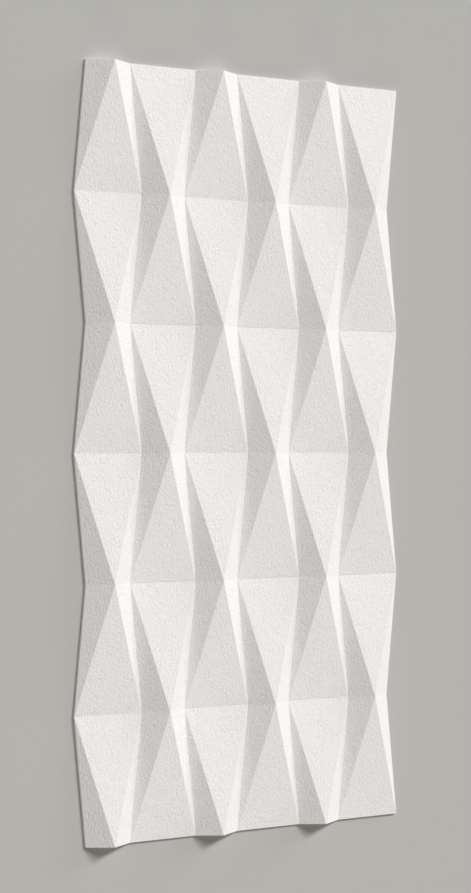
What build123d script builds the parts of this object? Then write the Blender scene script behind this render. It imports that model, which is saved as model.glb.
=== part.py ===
"""Wall panel with a folded relief, moulded in one piece on a flat back.

Row lines cross the panel at equal steps along its length. On each row line stand six-sided
pyramids, and on every second row line they are shifted by half a module, so the pyramids
interlock. A pyramid's outline is an hourglass: its waist lies on its own row line, and its
mouths lie on the row lines before and after it, where they fill the gaps between the waists
of the neighbours. The side edges of the panel follow those outlines, so they zigzag, and the
next panel fits against them. The two ends cut the pyramids through their peaks.

The panel lies on its back: X is its width, Y its length and +Z points out of the wall. The
origin is the middle of the back.
"""

import os

from build123d import *

# Driving dimensions, in millimetres
MODULE_WIDTH = 193.4  # from one pyramid to the next along a row line
ROW_PITCH = 200.0  # from one row line to the next
WAIST_WIDTH = 76.9  # of an hourglass, on the pyramid's own row line
RELIEF_HEIGHT = 22.5  # of the peaks above the valleys
BASE_THICKNESS = 4.0  # of the panel in its valleys
COLUMNS = 3  # pyramids on a row line
ROWS = 6  # steps from the first row line to the last

# Sizes that follow from them
MOUTH_WIDTH = MODULE_WIDTH - WAIST_WIDTH
PANEL_LENGTH = ROWS * ROW_PITCH
COVER_WIDTH = COLUMNS * MODULE_WIDTH  # width that one panel covers beside the next
PEAK_SHIFT = MODULE_WIDTH / 4  # of the peaks from the middle of their module, left and right in turn


def flat_face(*corners: Vector) -> Face:
    """A plane face through its corners in order."""
    return Face(Wire.make_polygon(corners))


def half_pyramid() -> Solid:
    """Half of one pyramid with the base under it, from its row line to the next one along +Y.

    The row line is the X axis, and the peak stands above the origin.
    """
    plan = [
        (-WAIST_WIDTH / 2, 0.0),
        (WAIST_WIDTH / 2, 0.0),
        (MOUTH_WIDTH / 2, ROW_PITCH),
        (-MOUTH_WIDTH / 2, ROW_PITCH),
    ]
    foot = [Vector(x, y, 0.0) for x, y in plan]
    rim = [Vector(x, y, BASE_THICKNESS) for x, y in plan]
    peak = Vector(0.0, 0.0, BASE_THICKNESS + RELIEF_HEIGHT)

    back = flat_face(*foot)
    cut_through_peak = flat_face(foot[0], foot[1], rim[1], peak, rim[0])
    walls = [flat_face(foot[i], foot[i + 1], rim[i + 1], rim[i]) for i in (1, 2)]
    walls.append(flat_face(foot[3], foot[0], rim[0], rim[3]))
    facets = [flat_face(rim[i], rim[(i + 1) % 4], peak) for i in (1, 2, 3)]
    return Solid(Shell([back, cut_through_peak, *walls, *facets]))


def panel_solid() -> Part:
    """The whole panel: half pyramids on each side of every row line, joined into one solid."""
    forward_half = half_pyramid()
    backward_half = Rot(Z=180) * forward_half
    halves = []
    for row in range(ROWS + 1):
        y = row * ROW_PITCH - PANEL_LENGTH / 2
        shift = -PEAK_SHIFT if row % 2 == 0 else PEAK_SHIFT
        for column in range(COLUMNS):
            x = (column + 0.5) * MODULE_WIDTH - COVER_WIDTH / 2 + shift
            if row < ROWS:
                halves.append(Pos(x, y) * forward_half)
            if row > 0:
                halves.append(Pos(x, y) * backward_half)
    return (Part() + halves).clean()


os.makedirs("parts", exist_ok=True)
export_step(panel_solid(), "parts/wall_panel.step")
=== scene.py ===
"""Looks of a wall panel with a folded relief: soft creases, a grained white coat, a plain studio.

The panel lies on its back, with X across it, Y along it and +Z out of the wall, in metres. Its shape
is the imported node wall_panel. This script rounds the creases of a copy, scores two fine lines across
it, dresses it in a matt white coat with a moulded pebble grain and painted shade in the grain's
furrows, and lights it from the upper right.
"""

import logging
import math
from dataclasses import dataclass
from enum import Enum
from typing import Any

import bmesh
import bpy
from mathutils import Matrix, Vector


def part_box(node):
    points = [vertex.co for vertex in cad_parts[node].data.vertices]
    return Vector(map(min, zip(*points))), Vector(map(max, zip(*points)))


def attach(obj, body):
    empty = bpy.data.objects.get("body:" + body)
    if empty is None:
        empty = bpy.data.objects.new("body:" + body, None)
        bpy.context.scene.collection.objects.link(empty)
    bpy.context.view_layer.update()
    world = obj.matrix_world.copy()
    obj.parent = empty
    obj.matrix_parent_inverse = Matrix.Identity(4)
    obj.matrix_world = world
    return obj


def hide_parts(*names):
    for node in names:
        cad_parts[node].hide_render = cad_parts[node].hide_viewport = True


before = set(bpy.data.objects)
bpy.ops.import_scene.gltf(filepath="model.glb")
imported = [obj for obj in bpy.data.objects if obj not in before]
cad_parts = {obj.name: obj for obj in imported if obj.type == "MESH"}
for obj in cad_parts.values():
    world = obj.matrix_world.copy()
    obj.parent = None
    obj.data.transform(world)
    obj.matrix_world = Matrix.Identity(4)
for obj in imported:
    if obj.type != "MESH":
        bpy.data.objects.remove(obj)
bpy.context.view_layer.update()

MM = 0.001  # one millimetre in the scene's metres
IMAGE_HEIGHT = 893  # pixels of the picture's long side
SENSOR = 36.0  # millimetres along that side

Colour = tuple[float, float, float]
log = logging.getLogger("wall_panel")


class Surface(Enum):
    """A kind of surface on the panel, with the share of the moulded grain that it carries."""

    RELIEF = 1.0
    EDGE = 0.4
    BACK = 0.15

    @classmethod
    def facing(cls, normal: Vector) -> "Surface":
        """The kind of surface that faces along a normal.

        Args:
            normal: The unit normal of a face.

        Returns:
            The relief for a face that looks out of the wall, the back for one that looks into it,
            and an edge for the rest.
        """
        upright = 0.5  # least upward part of a normal on the relief
        if normal.z > upright:
            return cls.RELIEF
        if normal.z < -upright:
            return cls.BACK
        return cls.EDGE


class NodeSheet:
    """A material's or world's node tree, with short ways to add and join its nodes."""

    def __init__(self, tree: bpy.types.NodeTree) -> None:
        """Starts the tree afresh.

        Args:
            tree: The node tree to fill.
        """
        self.tree = tree
        self.tree.nodes.clear()

    def add(self, kind: str, settings: dict[str, Any] | None = None, **inputs: Any) -> bpy.types.Node:
        """Adds a node.

        Args:
            kind: The node's type, without the leading ShaderNode.
            settings: Properties to set on the node itself.
            inputs: Values or output sockets for the node's inputs, with _ for a space in a name.

        Returns:
            The new node.
        """
        node = self.tree.nodes.new("ShaderNode" + kind)
        for name, value in (settings or {}).items():
            setattr(node, name, value)
        for name, value in inputs.items():
            self.feed(node.inputs[name.replace("_", " ")], value)
        return node

    def feed(self, socket: bpy.types.NodeSocket, value: Any) -> None:
        """Links an output socket to an input socket, or sets the input to a plain value.

        Args:
            socket: The input socket.
            value: The output socket to link, or the plain value to set.
        """
        if isinstance(value, bpy.types.NodeSocket):
            self.tree.links.new(value, socket)
        else:
            socket.default_value = value

    def math(self, operation: str, first: Any, second: Any) -> bpy.types.NodeSocket:
        """Adds a Math node.

        Args:
            operation: The name of the operation.
            first: The first value or output socket.
            second: The second value or output socket.

        Returns:
            The result's output socket.
        """
        node = self.add("Math", {"operation": operation})
        self.feed(node.inputs[0], first)
        self.feed(node.inputs[1], second)
        return node.outputs[0]


def opaque(colour: Colour) -> tuple[float, float, float, float]:
    """A colour with full alpha, as colour sockets take it."""
    return (*colour, 1.0)


@dataclass(frozen=True)
class PebbledCoat:
    """A matt white coat over a moulded pebble grain that is drawn out along the panel, with painted shade
    darkening the furrows between the pebbles.
    """

    name: str = "pebbled_white_coat"
    crest: Colour = (0.894, 0.891, 0.875)  # on top of the pebbles
    pit: Colour = (0.804, 0.800, 0.782)  # painted shade in the furrows between them, darker than the coat's own colour on the crests
    painted_shade_power: float = 3.0  # power of the height that mixes the two, so that the painted shade reaches from the furrows up to near the crests
    pebble_width: float = 2.1 * MM
    pebble_length: float = 4.4 * MM
    lean: float = -22.0  # degrees of the pebbles' long side from +Y, anticlockwise
    wander: float = 0.45  # by which the pebbles stray from an even net, in pebbles
    wander_reach: float = 1.7  # pebbles over which that straying changes
    merging: float = 0.45  # of pebbles that touch, from 0 for a sharp furrow between them
    specks_per_pebble: float = 2.6
    speck_height: float = 0.25  # beside a pebble's height of 1
    octaves: float = 2.0  # of finer noise in the straying and the specks
    depth: float = 0.57 * MM  # from a crest to a pit
    middle: float = 0.72  # mean height of the grain, in depths
    patch_size: float = 14.0 * MM  # of the patches with a fainter or stronger grain
    patch_octaves: float = 1.0
    patch_noise: tuple[float, float] = (0.3, 0.7)  # values of the noise in the faintest and strongest patch
    patch_range: tuple[float, float] = (0.6, 1.4)  # of the grain's strength from patch to patch
    crest_roughness: float = 0.58
    pit_roughness: float = 0.72
    gloss: float = 0.35  # the shader's specular level

    def strayed(self, sheet: NodeSheet, net: bpy.types.NodeSocket) -> bpy.types.NodeSocket:
        """Adds the straying of the pebbles from their even net.

        Args:
            sheet: The material's nodes.
            net: The place in the even net, in pebbles.

        Returns:
            The place in the uneven net, in pebbles.
        """
        noise_middle = 0.5  # of noise that runs from 0 to 1
        stray = sheet.add("TexNoise", Vector=net, Scale=1.0 / self.wander_reach, Detail=self.octaves)
        centred = sheet.add("VectorMath", {"operation": "SUBTRACT"})
        sheet.feed(centred.inputs[0], stray.outputs["Color"])
        sheet.feed(centred.inputs[1], (noise_middle,) * 3)
        moved = sheet.add("VectorMath", {"operation": "MULTIPLY_ADD"})
        sheet.feed(moved.inputs[0], centred.outputs[0])
        sheet.feed(moved.inputs[1], (self.wander / noise_middle,) * 3)
        sheet.feed(moved.inputs[2], net)
        return moved.outputs[0]

    def pebbles(self, sheet: NodeSheet, place: bpy.types.NodeSocket) -> bpy.types.NodeSocket:
        """Adds the even grain of pebbles with fine specks on them.

        Args:
            sheet: The material's nodes.
            place: The place on the panel, in metres.

        Returns:
            The grain's height, from 0 in a pit to about 1 on a crest.
        """
        mapping = sheet.add("Mapping", {"vector_type": "TEXTURE"}, Vector=place)
        sheet.feed(mapping.inputs["Rotation"], (0.0, 0.0, math.radians(self.lean)))
        sheet.feed(mapping.inputs["Scale"], (self.pebble_width, self.pebble_length, self.pebble_width))
        net = mapping.outputs[0]
        cells = sheet.add(
            "TexVoronoi",
            {"feature": "SMOOTH_F1", "voronoi_dimensions": "3D"},
            Vector=self.strayed(sheet, net),
            Scale=1.0,
            Smoothness=self.merging,
        )
        domes = sheet.math("SUBTRACT", 1.0, cells.outputs["Distance"])
        specks = sheet.add("TexNoise", Vector=net, Scale=self.specks_per_pebble, Detail=self.octaves)
        fine = sheet.math("MULTIPLY", specks.outputs["Fac"], self.speck_height)
        return sheet.math("ADD", domes, fine)

    def height(self, sheet: NodeSheet) -> bpy.types.NodeSocket:
        """Adds the whole grain, which is fainter in some patches of the panel than in others.

        Args:
            sheet: The material's nodes.

        Returns:
            The grain's height, from about 0 in a pit to about 1 on a crest.
        """
        place = sheet.add("TexCoord").outputs["Object"]
        even = self.pebbles(sheet, place)
        patches = sheet.add("TexNoise", Vector=place, Scale=1.0 / self.patch_size, Detail=self.patch_octaves)
        faintest, fullest = self.patch_noise
        weakest, strongest = self.patch_range
        strength = sheet.add(
            "MapRange",
            Value=patches.outputs["Fac"],
            From_Min=faintest,
            From_Max=fullest,
            To_Min=weakest,
            To_Max=strongest,
        )
        relief = sheet.math("SUBTRACT", even, self.middle)
        relief = sheet.math("MULTIPLY", relief, strength.outputs[0])
        return sheet.math("ADD", relief, self.middle)

    def material(self) -> bpy.types.Material:
        """Makes the coat, with its grain weakened where the face's own share says so, and painted shade in
        the furrows of the grain.

        Returns:
            The new material.
        """
        material = bpy.data.materials.new(self.name)
        material.use_nodes = True
        sheet = NodeSheet(material.node_tree)
        height = self.height(sheet)
        share = sheet.add("Attribute", {"attribute_name": Panel.GRAIN_SHARE}).outputs["Fac"]
        carried = sheet.math("MULTIPLY", height, share)
        bump = sheet.add("Bump", Strength=1.0, Distance=self.depth, Height=carried)
        # painted shade: the colour darkens from the crests down into the furrows, following the grain's
        # height
        painted_shade_mix = sheet.add("Mix", {"data_type": "RGBA", "clamp_factor": True})
        colours = [socket for socket in painted_shade_mix.inputs if socket.type == "RGBA"]
        sheet.feed(painted_shade_mix.inputs[0], sheet.math("POWER", height, self.painted_shade_power))
        sheet.feed(colours[0], opaque(self.pit))
        sheet.feed(colours[1], opaque(self.crest))
        polish = sheet.add("MapRange", Value=height, To_Min=self.pit_roughness, To_Max=self.crest_roughness)
        shader = sheet.add("BsdfPrincipled")
        sheet.feed(shader.inputs["Base Color"], [o for o in painted_shade_mix.outputs if o.type == "RGBA"][0])
        sheet.feed(shader.inputs["Roughness"], polish.outputs[0])
        sheet.feed(shader.inputs["Normal"], bump.outputs[0])
        sheet.feed(shader.inputs["Specular IOR Level"], self.gloss)
        output = sheet.add("OutputMaterial")
        sheet.feed(output.inputs["Surface"], shader.outputs[0])
        return material


@dataclass(frozen=True)
class PlainPaint:
    """A plain matt paint of one colour, for the floor."""

    name: str = "floor_paint"
    colour: Colour = (0.491, 0.489, 0.462)

    def material(self) -> bpy.types.Material:
        """Makes the paint.

        Returns:
            The new material.
        """
        material = bpy.data.materials.new(self.name)
        material.use_nodes = True
        sheet = NodeSheet(material.node_tree)
        shader = sheet.add("BsdfDiffuse", Color=opaque(self.colour))
        output = sheet.add("OutputMaterial")
        sheet.feed(output.inputs["Surface"], shader.outputs[0])
        return material


@dataclass
class Panel:
    """The panel: one moulded piece with slightly rounded creases and rims, and two fine score lines."""

    GRAIN_SHARE = "grain_share"

    name: str = "relief_panel"
    node: str = "wall_panel"
    slot: str = "panel_white"
    body: str = "root"
    round_over: float = 0.4 * MM  # on each side of a crease
    round_steps: int = 4  # an even number, so that the middle of a rounding is a line of its own
    scored_lengths: int = 3  # equal lengths of the panel between the score lines
    score_depth: float = 0.7 * MM
    coat: PebbledCoat = PebbledCoat()

    def facets(self) -> bmesh.types.BMesh:
        """Copies the node's own shape and joins its triangles.

        Returns:
            A new shape with one face for each facet, edge and back.
        """
        seam = 0.001 * MM  # widest gap between points that are one
        flat = math.radians(1.0)  # largest bend between triangles of one facet
        shape = bmesh.new()
        shape.from_mesh(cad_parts[self.node].data)
        bmesh.ops.remove_doubles(shape, verts=shape.verts, dist=seam)
        bmesh.ops.dissolve_limit(shape, angle_limit=flat, verts=shape.verts, edges=shape.edges)
        return shape

    def soften(self, shape: bmesh.types.BMesh) -> None:
        """Rounds every crease and rim of the shape a little.

        Args:
            shape: The faceted shape, which is changed.
        """
        bmesh.ops.bevel(
            shape,
            geom=list(shape.edges),
            offset=self.round_over,
            offset_type="OFFSET",
            affect="EDGES",
            segments=self.round_steps,
            profile=0.5,
            material=-1,
            clamp_overlap=True,
        )
        bmesh.ops.recalc_face_normals(shape, faces=shape.faces)

    def score(self, shape: bmesh.types.BMesh) -> None:
        """Presses the fine score lines into the rounded creases between the wide, nearly level facets.

        Args:
            shape: The rounded shape, which is changed.
        """
        reach = 0.05 * MM  # on each side of a line, for the points that lie on it
        nearly_level = 0.97  # least upward part of a normal between wide facets
        low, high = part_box(self.node)
        shape.normal_update()
        level = [vert for vert in shape.verts if vert.normal.z > nearly_level]
        for step in range(1, self.scored_lengths):
            line = low.y + (high.y - low.y) * step / self.scored_lengths
            bottom = [vert for vert in level if abs(vert.co.y - line) < reach]
            for vert in bottom:
                vert.co.z -= self.score_depth
            for edge in {edge for vert in bottom for face in vert.link_faces for edge in face.edges}:
                edge.smooth = False

    def share_grain(self, shape: bmesh.types.BMesh) -> None:
        """Notes on each face how much of the grain it carries, and shades the faces smoothly.

        Args:
            shape: The finished shape, which is changed.
        """
        share = shape.faces.layers.float.new(self.GRAIN_SHARE)
        for face in shape.faces:
            face[share] = Surface.facing(face.normal).value
            face.smooth = True

    def build(self) -> bpy.types.Object:
        """Builds and dresses the panel.

        Returns:
            The finished piece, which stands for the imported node.
        """
        most_for_large_faces = 100  # the modifier's highest weight
        shape = self.facets()
        self.soften(shape)
        self.score(shape)
        self.share_grain(shape)
        mesh = bpy.data.meshes.new(self.name)
        shape.to_mesh(mesh)
        shape.free()
        mesh.materials.append(self.coat.material())
        piece = bpy.data.objects.new(self.name, mesh)
        bpy.context.scene.collection.objects.link(piece)
        shading = piece.modifiers.new("flat_facets", "WEIGHTED_NORMAL")
        shading.mode = "FACE_AREA"
        shading.weight = most_for_large_faces
        shading.keep_sharp = True
        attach(piece, self.body)
        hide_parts(self.node)
        return piece


@dataclass(frozen=True)
class Lamp:
    """A far soft lamp. Its direction is given by where it stands, seen from the panel."""

    name: str
    turn: float  # degrees round the panel, from +X towards +Y
    rise: float  # degrees above the floor
    spread: float  # degrees across, as seen from the panel
    strength: float  # of the light that it adds on a surface that faces it, 1 for a plain level
    colour: Colour

    def place(self) -> None:
        """Hangs the lamp over the panel."""
        light = bpy.data.lights.new(self.name, "SUN")
        light.energy = self.strength * math.pi
        light.angle = math.radians(self.spread)
        light.color = self.colour
        lamp = bpy.data.objects.new(self.name, light)
        turn, rise = math.radians(self.turn), math.radians(self.rise)
        towards = Vector((math.cos(turn) * math.cos(rise), math.sin(turn) * math.cos(rise), math.sin(rise)))
        lamp.rotation_euler = towards.to_track_quat("Z", "Y").to_euler()
        bpy.context.scene.collection.objects.link(lamp)


@dataclass
class Studio:
    """The plain floor, the lamps and the background beyond the floor."""

    floor_reach: float = 30.0  # from the panel to the end of the floor
    floor_gap: float = 0.1 * MM  # under the panel
    paint: PlainPaint = PlainPaint()
    lamps: tuple[Lamp, ...] = (
        Lamp("key", turn=48.0, rise=38.0, spread=14.0, strength=0.600, colour=(0.997, 0.984, 1.0)),
        Lamp("crown", turn=60.0, rise=50.0, spread=14.0, strength=0.302, colour=(0.997, 0.984, 1.0)),
        Lamp("side", turn=28.0, rise=13.0, spread=22.0, strength=0.376, colour=(0.972, 0.979, 1.0)),
        Lamp("fill", turn=180.0, rise=50.0, spread=24.0, strength=0.291, colour=(1.0, 0.992, 0.970)),
        Lamp("foot", turn=270.0, rise=8.0, spread=14.0, strength=0.200, colour=(1.0, 0.995, 0.680)),
    )

    def floor(self) -> None:
        """Lays the floor under the panel."""
        shape = bmesh.new()
        bmesh.ops.create_grid(shape, x_segments=1, y_segments=1, size=self.floor_reach)
        bmesh.ops.translate(shape, verts=shape.verts, vec=(0.0, 0.0, -self.floor_gap))
        mesh = bpy.data.meshes.new("floor")
        shape.to_mesh(mesh)
        shape.free()
        mesh.materials.append(self.paint.material())
        floor = bpy.data.objects.new("floor", mesh)
        bpy.context.scene.collection.objects.link(floor)

    def background(self) -> None:
        """Shows the floor's colour beyond the floor and in reflections, and adds no other light."""
        world = bpy.data.worlds.new("background")
        bpy.context.scene.world = world
        world.use_nodes = True
        sheet = NodeSheet(world.node_tree)
        unlit = sheet.add("Background", Strength=0.0)
        seen = sheet.add("Background", Color=opaque(self.paint.colour), Strength=1.0)
        path = sheet.add("LightPath")
        looked_at = sheet.math("MAXIMUM", path.outputs["Is Camera Ray"], path.outputs["Is Glossy Ray"])
        looked_at = sheet.math("MAXIMUM", looked_at, path.outputs["Is Transmission Ray"])
        either = sheet.add("MixShader")
        sheet.feed(either.inputs[0], looked_at)
        sheet.feed(either.inputs[1], unlit.outputs[0])
        sheet.feed(either.inputs[2], seen.outputs[0])
        output = sheet.add("OutputWorld")
        sheet.feed(output.inputs["Surface"], either.outputs[0])

    def build(self) -> None:
        """Sets up the floor, the background and the lamps."""
        self.floor()
        self.background()
        for lamp in self.lamps:
            lamp.place()


@dataclass
class PhotoCamera:
    """The camera, which looks down on the panel from its left side."""

    focal_pixels: float = 2159.65  # focal length in pixels of the picture
    lean: float = 31.4825  # degrees from straight above, towards -X
    nod: float = -0.1618  # degrees from level along the panel
    distance: float = 3424.0 * MM
    aim: tuple[float, float, float] = (-13.22 * MM, 10.28 * MM, 4.0 * MM)

    def place(self) -> None:
        """Sets up the camera and makes it the scene's own."""
        lens = bpy.data.cameras.new("camera")
        lens.sensor_width = SENSOR
        lens.lens = self.focal_pixels * SENSOR / IMAGE_HEIGHT
        lean, nod = math.radians(self.lean), math.radians(self.nod)
        ahead = Vector((math.sin(lean) * math.cos(nod), math.sin(nod), -math.cos(lean) * math.cos(nod)))
        across = Vector((math.cos(lean), 0.0, math.sin(lean)))
        axes = Matrix((across, across.cross(ahead), -ahead)).transposed().to_4x4()
        camera = bpy.data.objects.new("camera", lens)
        camera.matrix_world = Matrix.Translation(Vector(self.aim) - ahead * self.distance) @ axes
        bpy.context.scene.collection.objects.link(camera)
        bpy.context.scene.camera = camera


def main() -> None:
    """Builds the panel, then the studio and the camera, and reports each."""
    logging.basicConfig(level=logging.INFO, format="%(name)s %(message)s")
    bpy.context.scene.view_settings.view_transform = "Standard"
    panel = Panel()
    piece = panel.build()
    log.info("%s: %d faces, rounded by %.1f mm", piece.name, len(piece.data.polygons), panel.round_over / MM)
    studio = Studio()
    studio.build()
    for lamp in studio.lamps:
        log.info("lamp %s: %.0f degrees round, %.0f degrees up", lamp.name, lamp.turn, lamp.rise)
    camera = PhotoCamera()
    camera.place()
    log.info("camera: %.2f m away, %.1f degrees from straight above", camera.distance, camera.lean)


if __name__ == "__main__":
    main()
